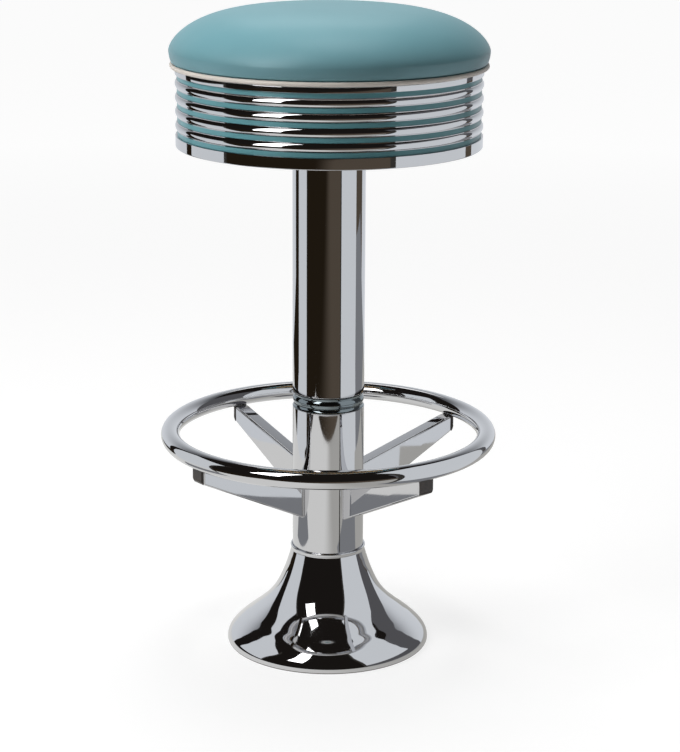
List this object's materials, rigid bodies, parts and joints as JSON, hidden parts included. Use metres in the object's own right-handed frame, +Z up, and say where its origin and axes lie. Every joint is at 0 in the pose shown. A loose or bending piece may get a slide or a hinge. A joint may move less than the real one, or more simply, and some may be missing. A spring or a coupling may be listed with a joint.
{
  "type": "counter stool",
  "caption": "Round padded counter stool with a grooved chrome seat band, a swivelling seat, a chrome column, a foot ring on arms and a bell-shaped base cover.",
  "frame": {"origin": "on the floor, on the column's axis, under the middle of the base", "axes": "+Z up along the column and the swivel axis; +X and +Y each along a foot ring arm"},
  "size_m": [0.4167, 0.4168, 0.8011],
  "materials": {
    "chrome_plate": "mirror chrome plate on steel",
    "collar_chrome": "darker bright chrome on a turned ring",
    "cast_iron": "black painted casting",
    "bronze": "turned bearing bronze",
    "turquoise_strip": "smooth inlaid strip",
    "turquoise_vinyl": "soft vinyl with a fine grain",
    "cream_piping": "satin piping",
    "foam": "open-cell foam",
    "plywood": "birch plywood",
    "bright_band": "bright polished extrusion",
    "dark_plastic": "dark brown moulded plug",
    "black_steel": "black enamel",
    "plain_aluminium": "mill finish",
    "plain_steel": "zinc plated"
  },
  "bodies": {
    "pedestal": {"arm_1": "chrome_plate", "arm_2": "chrome_plate", "arm_3": "chrome_plate", "arm_4": "chrome_plate", "arm_cap_1": "dark_plastic", "arm_cap_2": "dark_plastic", "arm_cap_3": "dark_plastic", "arm_cap_4": "dark_plastic", "bearing_housing": "black_steel", "bell_cover": "chrome_plate", "collar_ring": "collar_chrome", "floor_flange": "cast_iron", "foot_ring": "chrome_plate", "housing_cap": "black_steel", "lower_bush": "bronze", "lower_column": "chrome_plate", "lower_race": "plain_steel", "tie_nut": "plain_steel", "tie_rod": "plain_steel", "tie_washer": "plain_steel", "upper_bush": "bronze", "upper_column": "chrome_plate"},
    "seat": {"upper_race": "plain_steel", "spindle": "plain_steel", "circlip": "plain_steel", "thrust_washer": "plain_steel", "seat_plate": "black_steel", "hub_screws": "plain_steel", "seat_bolts": "plain_steel", "bolt_washers": "plain_steel", "tee_nuts": "plain_steel", "seat_board": "plywood", "foam_pad": "foam", "seat_cover": "turquoise_vinyl", "cover_staples": "plain_steel", "welt": "cream_piping", "grooved_band": "bright_band", "groove_strip_1": "turquoise_strip", "groove_strip_2": "turquoise_strip", "groove_strip_3": "turquoise_strip", "groove_strip_4": "turquoise_strip", "groove_strip_5": "turquoise_strip", "band_screws": "plain_steel", "band_splice": "plain_aluminium", "splice_rivets": "plain_aluminium"},
    "bearing_cage": {"ball_cage": "bronze", "bearing_balls": "plain_steel"}
  },
  "joints": [
    {"name": "seat_swivel", "type": "hinge", "parent": "pedestal", "child": "seat", "pos_m": [0, 0, 0.671], "axis": [0, 0, 1], "continuous": true},
    {"name": "cage_roll", "type": "hinge", "parent": "pedestal", "child": "bearing_cage", "pos_m": [0, 0, 0.677], "axis": [0, 0, 1], "continuous": true}
  ],
  "couplings": [
    {"joint": "cage_roll", "follows": "seat_swivel", "ratio": 0.5}
  ]
}
